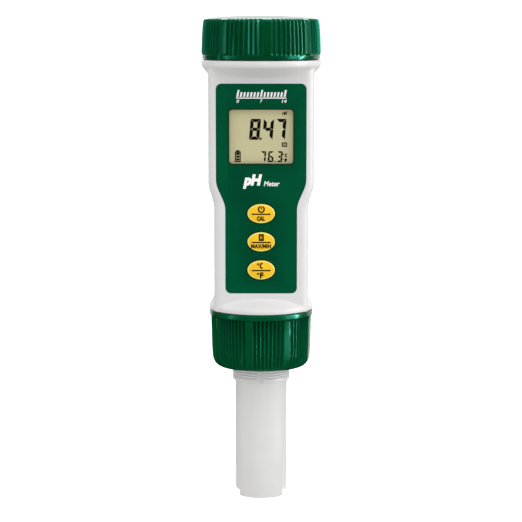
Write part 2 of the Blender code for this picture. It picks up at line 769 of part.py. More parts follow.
def make_electrode(materials):
    """The plug-in electrode, with a guard of two curved tabs round its flat sensing end."""
    body = make_body("electrode_body", (0, 0, HEAD_TOP))
    root, crest = 9.3, BEAD_RADIUS
    profile = [
        (BARREL_BORE, 0),
        (BARREL_RADII[0] - 0.15, 0),
        (BARREL_RADII[0], 0.2),
        (BARREL_RADII[1], BEADS_BOTTOM),
        (crest, 41.1),
        (crest, 42.1),
        (root, 42.4),
        (crest, 42.85),
        (root, 43.35),
        (crest, 43.8),
        (root, 44.25),
        (crest, 44.6),
        (crest, HEAD_BOTTOM),
        (HEAD_RADIUS - 0.4, HEAD_BOTTOM),
        (HEAD_RADIUS, HEAD_BOTTOM + 0.4),
        (HEAD_RADIUS, HEAD_TOP),
        (8.2, HEAD_TOP),
        (8.2, 54.6),
        (BARREL_BORE, 54.6),
    ]
    barrel = place("electrode_barrel", turned(profile), materials["white_plastic"], body)
    for side in (-1, 1):
        x = sorted((side * GUARD_HALF_WIDTH, side * 12.0))
        cut(barrel, block(x, (-12.0, 12.0), (-1.0, NOTCH_TOP)))
        y = sorted((side * 9.1, side * 12.0))
        cut(barrel, block((-0.9, 0.9), y, (40.5, 44.5)))
    gasket = ring_solid(12.8, 13.9, (HEAD_TOP + GAP, LOWER_NECK_END - GAP))
    place("electrode_gasket", gasket, materials["black_rubber"], body)
    make_plug(materials, body)
    make_sensors(materials, body)
    return body


def make_plug(materials, body):
    flange = rod(8.0, (54.8, HEAD_TOP - GAP), segments=SEGMENTS)
    plug = place("electrode_plug", flange, materials["black_plastic"], body)
    z = (HEAD_TOP - 0.5, 62.4)
    join(plug, block((-4.5, 4.5), (-2.9, 2.9), z))
    join(plug, block((-0.9, 0.9), (2.5, 3.8), z))
    for x in (-PIN_AT[0], PIN_AT[0]):
        for y in (-PIN_AT[1], PIN_AT[1]):
            cut(plug, rod(0.68, (57.4, 63.0), (x, y), 12))


def make_sensors(materials, body):
    """The sensing end's flat glass membrane on its tube, its reference and its temperature probe."""
    disc = rod(BARREL_BORE - 0.2, (SENSOR_FACE, 6.0), segments=SEGMENTS)
    disc = place("sensor_disc", disc, materials["natural_plastic"], body)
    cut(disc, rod(3.2, (1.0, 7.0), segments=32))
    for side in (-1, 1):
        cut(disc, rod(1.3, (1.0, 7.0), (side * PROBE_OFFSET, 0)))
    tube = [(0, 1.9), (3.0, 1.9), (3.0, 40.0), (2.5, 40.0), (2.5, 2.5), (0, 2.5)]
    place("glass_membrane_tube", turned(tube, segments=24), materials["sensor_glass"], body)
    place("silver_wire", rod(0.3, (4.0, 54.4), segments=8), materials["steel"], body)
    left, right = (-PROBE_OFFSET, 0), (PROBE_OFFSET, 0)
    place("reference_junction", rod(1.1, (2.2, 9.0), left), materials["ceramic"], body)
    place("reference_wire", rod(0.3, (9.2, 54.4), left, 8), materials["steel"], body)
    probe = [(0, 1.9), (0.8, 1.9), (1.1, 2.2), (1.1, 14.0), (0, 14.0)]
    place("temperature_probe", turned(probe, right, SMALL_SEGMENTS), materials["steel"], body)
    place("temperature_lead", rod(0.4, (14.2, 54.4), right, 8), materials["polyimide"], body)


def make_collar(materials):
    """The ribbed screw collar that holds the electrode's head against the lower neck."""
    body = make_body("collar_body", (0, 0, COLLAR_BOTTOM))
    phase = COLLAR_GRIP_PHASE
    rings = [
        grip_ring(13.7, COLLAR_BOTTOM, phase),
        grip_ring(15.6, 46.4, phase),
        grip_ring(16.5, 47.8, phase),
        grip_ring(17.0, 49.9, phase, RIB_DEPTH),
        grip_ring(17.42, 63.4, phase, RIB_DEPTH),
        grip_ring(17.93, 64.0, phase),
        grip_ring(17.93, COLLAR_TOP, phase),
    ]
    collar = place("electrode_collar", lofted(rings), materials["green_plastic"], body)
    bore = LOWER_NECK_RADIUS + THREAD_CLEARANCE - 0.2
    hole = [
        (0, COLLAR_BOTTOM - 1),
        (10.2, COLLAR_BOTTOM - 1),
        (10.2, 48.5),
        (14.4, 48.5),
        (14.4, 56.6),
        (bore, 56.6),
        (bore, COLLAR_TOP + 1),
        (0, COLLAR_TOP + 1),
    ]
    cut(collar, turned(hole))
    join_thread(collar, *thread(bore, -1, LOWER_THREAD_START + LEAD / 4, 0.4))


def main():
    clear_scene()
    materials = make_materials()
    root = make_body("housing_body")
    make_housing(materials, root)
    make_neck_seals(materials, root)
    make_overlay(materials, root)
    make_lens(materials, root)
    make_display(materials, root)
    make_keys(materials, root)
    make_keypad_seal(materials, root)
    make_board(materials, root)
    make_socket(materials, root)
    make_battery_bay(materials, root)
    make_battery_holder(materials)
    make_battery_cap(materials)
    make_electrode(materials)
    make_collar(materials)


main()
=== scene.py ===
"""The looks of the pen-style pH tester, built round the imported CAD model.

The frame is the CAD's: +Z up the meter's axis, the display faces -Y. Shapes are made in millimetres and
scaled to metres when their object is made.
"""

import json
import math

import bmesh
import bpy
import numpy as np
from mathutils import Matrix, Vector


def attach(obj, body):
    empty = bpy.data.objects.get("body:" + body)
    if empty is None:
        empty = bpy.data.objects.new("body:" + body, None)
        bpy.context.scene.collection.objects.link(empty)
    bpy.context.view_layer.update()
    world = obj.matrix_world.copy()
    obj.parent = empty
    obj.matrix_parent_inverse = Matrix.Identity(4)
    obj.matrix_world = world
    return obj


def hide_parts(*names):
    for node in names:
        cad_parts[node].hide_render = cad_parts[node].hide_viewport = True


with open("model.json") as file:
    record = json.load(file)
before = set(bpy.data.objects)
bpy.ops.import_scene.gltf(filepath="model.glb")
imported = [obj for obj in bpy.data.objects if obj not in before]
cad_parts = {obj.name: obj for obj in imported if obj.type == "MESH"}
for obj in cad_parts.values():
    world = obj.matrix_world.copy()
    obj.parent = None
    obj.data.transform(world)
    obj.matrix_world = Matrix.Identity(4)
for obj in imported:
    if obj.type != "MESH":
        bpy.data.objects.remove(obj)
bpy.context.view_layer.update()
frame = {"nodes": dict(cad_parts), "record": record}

MM = 0.001

# The camera, in metres and degrees; its lens in millimetres
CAMERA_PLACE = (-0.00005, -0.6763, 0.1688)
CAMERA_TILT = 7.3  # downwards
CAMERA_LENS = 135.24

# Light
LIGHT_TARGET = (0, 0, 0.1)
WORLD_LEVEL = 0.765
WORLD_SLOPE = (0.05, 0.0, -0.05)  # how much brighter the surroundings are towards +X and -Z

# The pointiness at which an edge starts to get its painted highlight, or a groove its painted shade, and
# where that is complete
EDGE_LIGHT_POINTINESS = (0.53, 0.62)
GROOVE_SHADE_POINTINESS = (0.492, 0.435)
# Inside this distance the cap's top gets no painted edge highlight and no painted groove shade.
SMOOTH_TOP = 0.0188  # metres from the axis: the cap's top has no edges inside it

# ---------------------------------------------------------------- dimensions, in millimetres

# Housing
LOWER_HALF_WIDTH = 16.17
UPPER_HALF_WIDTH = 18.1
WAIST = (101.4, 110.6)
FRONT = 11.0
BACK_SHARE = 0.93
FRONT_CORNER = 2.7
WALL = 2.0
FRONT_WALL = 2.4
LOWER_RIM = (65.8, 67.4)
LOWER_LEDGE = 70.3
UPPER_LEDGE = 145.6
UPPER_RIM = (149.75, 151.8)
LOWER_RIM_RADIUS = 18.1
UPPER_RIM_RADIUS = 20.6
LEDGE_FILLET = 0.5
RIM_EDGE = 0.45
# A flare's rim radius, its height, its ledge, and how much faster it closes at the sides than in front
LOWER_FLARE = (LOWER_RIM_RADIUS, LOWER_RIM[1], LOWER_LEDGE, 0.92)
UPPER_FLARE = (UPPER_RIM_RADIUS, UPPER_RIM[0], UPPER_LEDGE, 1.35)
MIDDLE = 90  # height between the two flares
PLAIN_Z = (72.3, 143.2)  # between these heights the flares have ended
WAIST_ROWS = (100.5, 111.5)  # between these heights the rows of points are close together
CAVITY_Z = (69.5, 149.0)
LOWER_NECK = (14.6, 12.6, 57.0)  # outer radius, bore radius, end height
UPPER_NECK = (16.6, 15.0, 161.2)

# Threads
LEAD = 6.0
STARTS = 2
RIDGE_HEIGHT = 0.95

# Keypad and display
OVERLAY_Z = (72.4, 144.0)
OVERLAY_HALF_WIDTHS = (12.2, 15.36)
OVERLAY_WAIST = (101.1, 111.4)
OVERLAY_CORNER = 1.9
OVERLAY_FRONT = -10.97
OVERLAY_BACK = -10.46
WINDOW_Z = (116.9, 135.2)
WINDOW_HALF_WIDTH = 10.87
WINDOW_CORNER = 1.1
KEY_HEIGHTS = {"power": 99.84, "hold": 90.15, "unit": 80.47}
KEY_HALF_AXES = (4.7, 3.28)
KEY_GAP = 0.34
KEY_RIM = 0.42
KEY_FRONT = -11.28
CELL_FACE = -9.35
INK = 0.03  # how far a print stands out
SEGMENT = 0.02  # how far the display's marks stand out
ROOT = 0.01  # how far both reach into their face

# Grips
GRIP_GROUPS = 8
RIBS_IN_GROUP = 8
RIB_PITCH = 4.6
RIB_DEPTH = 0.62
RIB_SHARPNESS = 0.65  # below 1, the ridges are narrower than the grooves


# ---------------------------------------------------------------- camera, light and floor


def make_camera():
    data = bpy.data.cameras.new("camera")
    data.lens = CAMERA_LENS
    data.sensor_width = 36.0
    data.clip_start = 0.05
    data.clip_end = 20.0
    camera = bpy.data.objects.new("camera", data)
    bpy.context.scene.collection.objects.link(camera)
    camera.location = CAMERA_PLACE
    camera.rotation_euler = (math.radians(90 - CAMERA_TILT), 0, 0)
    bpy.context.scene.camera = camera


def area_light(name, location, size, energy):
    """A rectangular light that faces the meter."""
    data = bpy.data.lights.new(name, "AREA")
    data.shape = "RECTANGLE"
    data.size, data.size_y = size
    data.energy = energy
    lamp = bpy.data.objects.new(name, data)
    bpy.context.scene.collection.objects.link(lamp)
    lamp.location = location
    direction = Vector(LIGHT_TARGET) - Vector(location)
    lamp.rotation_euler = direction.to_track_quat("-Z", "Y").to_euler()
    return lamp


def sun_light(name, energy, spread, tilt, turn):
    """Light from high up and in front.

    tilt is its angle off straight down and turn its way round to the right, both in degrees.
    """
    data = bpy.data.lights.new(name, "SUN")
    data.energy = energy
    data.angle = math.radians(spread)
    sun = bpy.data.objects.new(name, data)
    bpy.context.scene.collection.objects.link(sun)
    sun.rotation_euler = (math.radians(tilt), 0, math.radians(turn))


def make_lights():
    sun_light("sky", 1.4, 80, 14, 20)
    area_light("right_softbox", (0.5, -0.25, 0.2), (0.12, 0.5), 0.6)
    area_light("left_softbox", (-0.5, -0.3, 0.2), (0.12, 0.5), 0.2)
    # These show only as reflections
    for name, location, size, energy in (
        ("right_strip", (0.54, -0.257, 0.2), (0.2, 0.7), 1.2),
        ("left_strip", (-0.57, -0.2, 0.2), (0.06, 0.7), 0.8),
        ("rib_strip", (0.6, -0.05, 0.2), (0.03, 0.7), 7.0),
        ("rear_panel", (0.15, 1.1, 0.35), (2.6, 1.3), 14.0),
        ("upper_panel", (0.0, 1.0, 0.95), (1.2, 0.6), 10.0),
    ):
        lamp = area_light(name, location, size, energy)
        lamp.visible_diffuse = False
        lamp.visible_camera = False
    world = bpy.data.worlds.new("studio")
    bpy.context.scene.world = world
    world.cycles_visibility.glossy = False
    world.use_nodes = True
    tree = world.node_tree
    direction = tree.nodes.new("ShaderNodeTexCoord")
    slope = tree.nodes.new("ShaderNodeVectorMath")
    slope.operation = "DOT_PRODUCT"
    slope.inputs[1].default_value = WORLD_SLOPE
    tree.links.new(direction.outputs["Generated"], slope.inputs[0])
    level = tree.nodes.new("ShaderNodeMath")
    level.inputs[1].default_value = WORLD_LEVEL
    tree.links.new(slope.outputs["Value"], level.inputs[0])
    tree.links.new(level.outputs["Value"], tree.nodes["Background"].inputs["Strength"])
    tree.nodes["Background"].inputs["Color"].default_value = (1.0, 0.995, 0.99, 1.0)


def stage_material():
    material = bpy.data.materials.new("backdrop")
    material.use_nodes = True
    nodes, links = material.node_tree.nodes, material.node_tree.links
    shader = nodes["Principled BSDF"]
    shader.inputs["Roughness"].default_value = 0.8
    shader.inputs["Specular IOR Level"].default_value = 0.1
    shader.inputs["Emission Color"].default_value = (1, 1, 1, 1)
    shader.inputs["Emission Strength"].default_value = 0.6
    noise = nodes.new("ShaderNodeTexNoise")
    noise.inputs["Scale"].default_value = 6.0
    ramp = nodes.new("ShaderNodeValToRGB")
    ramp.color_ramp.elements[0].color = (0.9, 0.9, 0.9, 1)
    ramp.color_ramp.elements[1].color = (0.93, 0.93, 0.93, 1)
    links.new(noise.outputs["Fac"], ramp.inputs["Fac"])
    links.new(ramp.outputs["Color"], shader.inputs["Base Color"])
    return material


def make_stage():
    """A pale floor that curves up into a wall far behind the meter."""
    bend, bend_start, front, top, side, low = 0.8, 1.6, -14.0, 5.0, 14.0, -0.0004
    profile = [(front, 0.0), (bend_start, 0.0)]
    for i in range(1, 13):
        angle = math.radians(90 * i / 12)
        profile.append((bend_start + bend * math.sin(angle), bend * (1 - math.cos(angle))))
    profile.append((bend_start + bend, top))
    bm = bmesh.new()
    rows = [[bm.verts.new((x, y, z + low)) for x in (-side, side)] for y, z in profile]
    for near, far in zip(rows, rows[1:]):
        bm.faces.new((near[0], near[1], far[1], far[0]))
    mesh = bpy.data.meshes.new("floor")
    bm.to_mesh(mesh)
    bm.free()
    mesh.shade_smooth()
    mesh.materials.append(stage_material())
    floor = bpy.data.objects.new("floor", mesh)
    bpy.context.scene.collection.objects.link(floor)
    floor.visible_diffuse = False
    floor.visible_glossy = False


# ---------------------------------------------------------------- materials


def node(tree, kind, **values):
    """A new node, with its inputs set by name and its own settings by attribute."""
    made = tree.nodes.new(kind)
    for key, value in values.items():
        if key in made.inputs:
            made.inputs[key].default_value = value
        else:
            setattr(made, key, value)
    return made


def surface(
    name,
    colour,
    roughness,
    metallic=0.0,
    specular=0.5,
    variation=0.05,
    grain=(2600.0, 0.00003),
    mottle=140.0,
    wear=None,
    crevice=None,
    plain_inside=0.0,
    roughness_range=0.08,
    **extra,
):
    """A procedural material: mottled colour, uneven gloss, fine grain and, if asked for, a painted highlight
    on edges and painted shade in grooves.

    plain_inside is the distance from the Z axis, in metres, inside which neither painted highlight nor
    painted shade is added.
    """
    material = bpy.data.materials.new(name)
    material.use_nodes = True
    tree = material.node_tree
    links = tree.links
    shader = tree.nodes["Principled BSDF"]
    shader.inputs["Metallic"].default_value = metallic
    shader.inputs["Specular IOR Level"].default_value = specular
    for key, value in extra.items():
        shader.inputs[key.replace("_", " ").title().replace("Ior", "IOR")].default_value = value
    place = node(tree, "ShaderNodeTexCoord")
    cloud = node(tree, "ShaderNodeTexNoise", Scale=mottle, Detail=4.0)
    links.new(place.outputs["Object"], cloud.inputs["Vector"])
    tint = node(tree, "ShaderNodeValToRGB")
    low = [max(0.0, c * (1 - variation)) for c in colour]
    high = [min(1.0, c * (1 + variation)) for c in colour]
    tint.color_ramp.elements[0].position = 0.3
    tint.color_ramp.elements[0].color = (*low, 1)
    tint.color_ramp.elements[1].position = 0.7
    tint.color_ramp.elements[1].color = (*high, 1)
    links.new(cloud.outputs["Fac"], tint.inputs["Fac"])
    result = tint.outputs["Color"]
    across = node(tree, "ShaderNodeVectorMath", operation="MULTIPLY")
    across.inputs[1].default_value = (1, 1, 0)
    links.new(place.outputs["Object"], across.inputs[0])
    distance = node(tree, "ShaderNodeVectorMath", operation="LENGTH")
    links.new(across.outputs["Vector"], distance.inputs[0])
    outside = node(tree, "ShaderNodeMath", operation="GREATER_THAN")
    outside.inputs[1].default_value = plain_inside
    links.new(distance.outputs["Value"], outside.inputs[0])
    # Painted light from pointiness: convex edges and crests take a painted highlight colour (a painted shade
    # colour on the film), and grooves take painted shade.
    for change, (start, end) in ((wear, EDGE_LIGHT_POINTINESS), (crevice, GROOVE_SHADE_POINTINESS)):
        if not change:
            continue
        geometry = node(tree, "ShaderNodeNewGeometry")
        edge = node(tree, "ShaderNodeMapRange")
        edge.inputs["From Min"].default_value = start
        edge.inputs["From Max"].default_value = end
        edge.inputs["To Max"].default_value = change[1]
        links.new(geometry.outputs["Pointiness"], edge.inputs["Value"])
        amount = node(tree, "ShaderNodeMath", operation="MULTIPLY")
        links.new(edge.outputs["Result"], amount.inputs[0])
        links.new(outside.outputs["Value"], amount.inputs[1])
        mix = node(tree, "ShaderNodeMix", data_type="RGBA")
        links.new(amount.outputs["Value"], mix.inputs["Factor"])
        links.new(result, mix.inputs[6])
        mix.inputs[7].default_value = (*change[0], 1)
        result = mix.outputs[2]
    links.new(result, shader.inputs["Base Color"])
    smudge = node(tree, "ShaderNodeTexNoise", Scale=mottle * 2.7, Detail=3.0)
    links.new(place.outputs["Object"], smudge.inputs["Vector"])
    gloss = node(tree, "ShaderNodeMapRange")
    gloss.inputs["To Min"].default_value = roughness - roughness_range / 2
    gloss.inputs["To Max"].default_value = roughness + roughness_range / 2
    links.new(smudge.outputs["Fac"], gloss.inputs["Value"])
    links.new(gloss.outputs["Result"], shader.inputs["Roughness"])
    fine = node(tree, "ShaderNodeTexNoise", Scale=grain[0], Detail=2.0)
    links.new(place.outputs["Object"], fine.inputs["Vector"])
    bump = node(tree, "ShaderNodeBump", Strength=0.6, Distance=grain[1])
    links.new(fine.outputs["Fac"], bump.inputs["Height"])
    links.new(bump.outputs["Normal"], shader.inputs["Normal"])
    return material


# White housing plastic; its edges are painted lighter, a painted highlight along them.
WHITE = surface(
    "white_abs", (0.755, 0.75, 0.75), 0.42, specular=0.3, variation=0.015, grain=(3200.0, 0.00002),
    wear=((0.82, 0.815, 0.81), 0.5),
)
# The sleeve's white; its bead crests and edges are painted much lighter, a painted highlight that makes up
# for the collar's shadow over them.
ELECTRODE_WHITE = surface(
    "electrode_white", (0.765, 0.762, 0.76), 0.38, specular=0.3, variation=0.012, grain=(2600.0, 0.000015),
    wear=((0.92, 0.915, 0.91), 0.9),
)
# Shared by both greens: rib crests and edges are painted lighter, a painted highlight, and grooves are
# painted darker, painted shade.
GREEN_LOOK = dict(
    roughness=0.23, specular=0.5, variation=0.10, grain=(3000.0, 0.000012),
    wear=((0.008, 0.17, 0.08), 0.8), crevice=((0.0001, 0.018, 0.006), 0.95),
    specular_tint=(0.03, 1.0, 0.7, 1.0),
)
# The collar (GREEN) and the cap (CAP_GREEN) are one green plastic, given as a lighter and a darker copy to
# even out how each is lit: painted light and painted shade.
GREEN = surface("green_abs", (0.0005, 0.081, 0.023), **GREEN_LOOK)
CAP_GREEN = surface("green_abs_cap", (0.0004, 0.058, 0.015), plain_inside=SMOOTH_TOP, **GREEN_LOOK)
# The film's edges are painted darker: a painted shade line along its border.
OVERLAY = surface(
    "green_film", (0.0004, 0.084, 0.031), 0.5, specular=0.15, variation=0.05, grain=(5200.0, 0.00001),
    specular_tint=(0.03, 1.0, 0.7, 1.0), wear=((0.0004, 0.03, 0.014), 0.8),
)
BORDER_INK = surface("window_border", (0.006, 0.035, 0.010), 0.5, specular=0.12, variation=0.05)
# The paler yellow of each key's rim is a painted highlight on its rounded edge.
KEY_RIM_HIGHLIGHT = surface(
    "yellow_rim_painted_highlight", (0.97, 0.83, 0.20), 0.5, specular=0.1, variation=0.05, grain=(4200.0, 0.000012)
)
YELLOW = surface(
    "yellow_rubber", (0.98, 0.58, 0.022), 0.5, specular=0.1, variation=0.04, grain=(4200.0, 0.000012)
)
WHITE_INK = surface("white_ink", (0.98, 0.985, 0.975), 0.55, specular=0.15, variation=0.01)
BLACK_INK = surface("black_ink", (0.012, 0.006, 0.002), 0.55, specular=0.15, variation=0.2)
LCD_INK = surface("display_segments", (0.004, 0.0035, 0.002), 0.5, specular=0.08, variation=0.3)
# The display glows faintly: painted light that lifts it above the shade of its window.
LCD = surface(
    "display_face", (0.57, 0.535, 0.313), 0.45, specular=0.1, variation=0.02, grain=(7000.0, 0.00001),
    mottle=90.0, emission_color=(0.66, 0.62, 0.37, 1.0), emission_strength=0.2,
)
BLACK = surface("black_nylon", (0.018, 0.018, 0.02), 0.5, variation=0.25)
RUBBER = surface("black_rubber", (0.013, 0.013, 0.014), 0.72, specular=0.25, variation=0.3, mottle=300.0)
GREY_RUBBER = surface("grey_silicone", (0.2, 0.2, 0.21), 0.7, specular=0.25, variation=0.1)
NATURAL = surface("natural_acetal", (0.6, 0.6, 0.57), 0.5, variation=0.04)
STEEL = surface(
    "plated_steel", (0.6, 0.6, 0.58), 0.27, metallic=1.0, variation=0.06, grain=(1500.0, 0.00001),
    mottle=220.0, roughness_range=0.14,
)
GOLD = surface("gold_plate", (0.83, 0.58, 0.2), 0.24, metallic=1.0, variation=0.08)
BOARD = surface("solder_mask", (0.008, 0.11, 0.04), 0.35, variation=0.12, mottle=320.0)
AMBER = surface("polyimide_film", (0.5, 0.22, 0.04), 0.3, variation=0.1)
CERAMIC = surface("porous_ceramic", (0.72, 0.69, 0.62), 0.85, variation=0.08, grain=(5200.0, 0.00006))
LENS = surface(
    "clear_lens", (0.03, 0.03, 0.025), 0.06, specular=0.25, variation=0.01, roughness_range=0.03, alpha=0.05
)
GLASS = surface(
    "sensor_glass", (0.75, 0.85, 0.86), 0.05, specular=0.5, variation=0.02, roughness_range=0.03, alpha=0.35
)


# ---------------------------------------------------------------- mesh helpers


def new_object(name, bm, material, body, replaced=(), sharp=38):
    """A piece of the model from a mesh in millimetres."""
    bmesh.ops.recalc_face_normals(bm, faces=bm.faces)
    bm.transform(Matrix.Scale(MM, 4))
    mesh = bpy.data.meshes.new(name)
    bm.to_mesh(mesh)
    bm.free()
    mesh.shade_smooth()
    mesh.set_sharp_from_angle(angle=math.radians(sharp))
    mesh.materials.append(material)
    piece = bpy.data.objects.new(name, mesh)
    bpy.context.scene.collection.objects.link(piece)
    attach(piece, body)
    if replaced:
        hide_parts(*replaced)


def combined(base, shapes):
    """The mesh of base after each (operation, shape) in turn. All are closed meshes in millimetres."""
    made = [base, *(shape for _, shape in shapes)]
    objects = []
    for i, bm in enumerate(made):
        bmesh.ops.recalc_face_normals(bm, faces=bm.faces)
        mesh = bpy.data.meshes.new(f"shape_{i}")
        bm.to_mesh(mesh)
        bm.free()
        obj = bpy.data.objects.new(f"shape_{i}", mesh)
        bpy.context.scene.collection.objects.link(obj)
        objects.append(obj)
    for (operation, _), helper in zip(shapes, objects[1:]):
        modifier = objects[0].modifiers.new(helper.name, "BOOLEAN")
        modifier.operation = operation
        modifier.solver = "MANIFOLD"
        modifier.object = helper
    graph = bpy.context.evaluated_depsgraph_get()
    result = bmesh.new()
    result.from_object(objects[0], graph)
    for obj in objects:
        mesh = obj.data
        bpy.data.objects.remove(obj)
        bpy.data.meshes.remove(mesh)
    bmesh.ops.remove_doubles(result, verts=result.verts, dist=1e-4)
    return result


def joined(meshes):
    """Several closed meshes as one."""
    result = bmesh.new()
    for bm in meshes:
        mesh = bpy.data.meshes.new("part")
        bmesh.ops.recalc_face_normals(bm, faces=bm.faces)
        bm.to_mesh(mesh)
        bm.free()
        result.from_mesh(mesh)
        bpy.data.meshes.remove(mesh)
    return result


def lofted(rings, closed=False):
    """A solid through rings of the same number of points, with flat ends unless it closes on itself."""
    bm = bmesh.new()
    loops = [[bm.verts.new(point) for point in ring] for ring in rings]
    spans = list(zip(loops, loops[1:]))
    if closed:
        spans.append((loops[-1], loops[0]))
    for low, high in spans:
        for i in range(len(low)):
            j = (i + 1) % len(low)
            bm.faces.new((low[i], low[j], high[j], high[i]))
    if not closed:
        bm.faces.new(loops[0][::-1])
        bm.faces.new(loops[-1])
    return bm


def turned(profile, segments=144):
    """A solid turned about the Z axis from a closed outline of (radius, height) points."""
    bm = bmesh.new()
    points = [bm.verts.new((radius, 0, height)) for radius, height in profile]
    pairs = zip(points, points[1:] + points[:1])
    edges = [bm.edges.new(pair) for pair in pairs if pair[0].co.x > 0 or pair[1].co.x > 0]
    bmesh.ops.spin(
        bm, geom=points + edges, cent=(0, 0, 0), axis=(0, 0, 1), angle=math.tau, steps=segments,
        use_merge=True,
    )
    bmesh.ops.remove_doubles(bm, verts=bm.verts, dist=1e-4)
    return bm


def rod(radius, z, segments=144):
    return turned([(0, z[0]), (radius, z[0]), (radius, z[1]), (0, z[1])], segments)


def block(x, y, z):
    corners = [(x[0], z[0]), (x[1], z[0]), (x[1], z[1]), (x[0], z[1])]
    return plate([(corners, y[0]), (corners, y[1])])


def plate(layers):
    """A solid between outlines of (x, z) points, each at its own y."""
    return lofted([[(x, y, z) for x, z in outline] for outline, y in layers])


def arc(centre, radius, start, end, steps):
    angles = [math.radians(start + (end - start) * i / steps) for i in range(steps + 1)]
    return [(centre[0] + radius * math.cos(a), centre[1] + radius * math.sin(a)) for a in angles]


def rounded_rectangle(half_width, z, corner, steps=10, x=0.0):
    low, high, side = z[0] + corner, z[1] - corner, half_width - corner
    outline = (
        arc((side, low), corner, -90, 0, steps)
        + arc((side, high), corner, 0, 90, steps)
        + arc((-side, high), corner, 90, 180, steps)
        + arc((-side, low), corner, 180, 270, steps)
    )
    return [(x + px, pz) for px, pz in outline]


def ellipse(half_axes, height, grown=0.0, steps=96):
    turns = [math.tau * i / steps for i in range(steps)]
    across, up = half_axes[0] + grown, half_axes[1] + grown
    return [(across * math.cos(a), height + up * math.sin(a)) for a in turns]


def smooth_step(value, start, end):
    t = min(1.0, max(0.0, (value - start) / (end - start)))
    return t * t * (3 - 2 * t)


def smooth_max(a, b, width):
    h = max(width - abs(a - b), 0.0) / width
    return max(a, b) + h * h * width / 4


def thread_ridge(wall_radius, outward, start_height, turns, turn_offset):
    """One helical ridge with a rounded crest, which rises out of its wall and sinks back at its other end."""
    per_turn = 120
    sunk = 0.3
    least = 0.12
    steps = round(per_turn * turns)
    root = wall_radius - outward * sunk
    section = [(-0.62, 0.0), (-0.42, 0.75), (-0.22, 1.0), (0.22, 1.0), (0.42, 0.75), (0.62, 0.0)]
    rings = []
    for i in range(steps + 1):
        angle = math.tau * (turns * i / steps + turn_offset)
        height = start_height + LEAD * turns * i / steps
        rise = least + (1 - least) * smooth_step(min(i, steps - i), 0, 8)
        ring = []
        for dz, share in section:
            r = root + outward * (sunk + RIDGE_HEIGHT) * share * rise
            ring.append((r * math.cos(angle), r * math.sin(angle), height + dz))
        rings.append(ring)
    return lofted(rings)


def thread(wall_radius, outward, start_height, turns):
    return [
        ("UNION", thread_ridge(wall_radius, outward, start_height, turns, start / STARTS + 0.003))
        for start in range(STARTS)
    ]


# ---------------------------------------------------------------- housing


def half_width_at(height):
    share = smooth_step(height, *WAIST)
    return LOWER_HALF_WIDTH + (UPPER_HALF_WIDTH - LOWER_HALF_WIDTH) * share


def section_radius(direction, height, inset=0.0, front_inset=0.0):
    """How far the housing's cross-section reaches: flat front, rounded corners and rounded back."""
    dx, dy = abs(direction[0]), direction[1]
    half = half_width_at(height)
    side = half - inset
    if dy >= 0:
        back = half * BACK_SHARE - inset
        return 1 / math.sqrt((dx / side) ** 2 + (dy / back) ** 2)
    front = FRONT - front_inset
    corner = FRONT_CORNER - front_inset * 0.6
    cx, cy = side - corner, corner - front
    if dx > 0 and side / dx * dy >= cy:
        return side / dx
    if -front / dy * dx <= cx:
        return -front / dy
    along = dx * cx + dy * cy
    return along + math.sqrt(max(0.0, along * along - cx * cx - cy * cy + corner * corner))


def rim_radius(direction, height, radius, inner, ledge, side_pull):
    """The reach of the flare between a round rim and the body: an ellipse that shrinks towards its ledge."""
    share = (height - inner) / (ledge - inner)
    ease = 0.1
    if share <= -ease:
        return radius
    if share < ease:
        share = (share + ease) ** 2 / (4 * ease)
    half = half_width_at(ledge)
    across = radius + (half - radius) * share * side_pull
    depth = half * BACK_SHARE if direction[1] >= 0 else FRONT
    depth = radius + (depth - radius) * share
    if across <= 1 or depth <= 1:
        return 0.0
    return 1 / math.sqrt((direction[0] / across) ** 2 + (direction[1] / depth) ** 2)


def section_directions():
    """Directions from the axis, close together over the flat front and its corners."""
    side, front, corner = 17.2, FRONT, FRONT_CORNER
    outline = [(side * math.cos(a), side * BACK_SHARE * math.sin(a)) for a in np.linspace(0, math.pi, 73)]
    outline += [(-side, y) for y in np.linspace(0, corner - front, 10)[1:]]
    outline += arc((corner - side, corner - front), corner, 180, 270, 10)[1:]
    outline += [(x, -front) for x in np.linspace(corner - side, side - corner, 61)[1:-1]]
    outline += arc((side - corner, corner - front), corner, 270, 360, 10)
    outline += [(side, y) for y in np.linspace(corner - front, 0, 10)[1:-1]]
    return [Vector(point).normalized() for point in outline]


def spread(*spans):
    """Heights over joined spans, each (start, end, steps)."""
    values = [spans[0][0]]
    for start, end, steps in spans:
        values += [start + (end - start) * i / steps for i in range(1, steps + 1)]
    return values


def housing_outside():
    edge = RIM_EDGE
    heights = spread(
        (LOWER_RIM[0], LOWER_RIM[0] + edge, 4),
        (LOWER_RIM[0] + edge, LOWER_RIM[1], 3),
        (LOWER_RIM[1], PLAIN_Z[0], 26),
        (PLAIN_Z[0], WAIST_ROWS[0], 10),
        (*WAIST_ROWS, 26),
        (WAIST_ROWS[1], PLAIN_Z[1], 10),
        (PLAIN_Z[1], UPPER_RIM[0], 36),
        (UPPER_RIM[0], UPPER_RIM[1] - edge, 3),
        (UPPER_RIM[1] - edge, UPPER_RIM[1], 4),
    )
    rings = []
    for z in heights:
        sunk = 0.0
        for near in (z - LOWER_RIM[0], UPPER_RIM[1] - z):
            if near < edge:
                sunk = edge - math.sqrt(max(0.0, edge * edge - (edge - near) ** 2))
        ring = []
        for direction in section_directions():
            body = section_radius(direction, z)
            flare = LOWER_FLARE if z < MIDDLE else UPPER_FLARE
            rim = rim_radius(direction, z, *flare)
            reach = smooth_max(body, rim, LEDGE_FILLET) if rim > body - 3 else body
            reach = min(reach, max(body, flare[0])) - sunk
            ring.append((reach * direction.x, reach * direction.y, z))
        rings.append(ring)
    return lofted(rings)


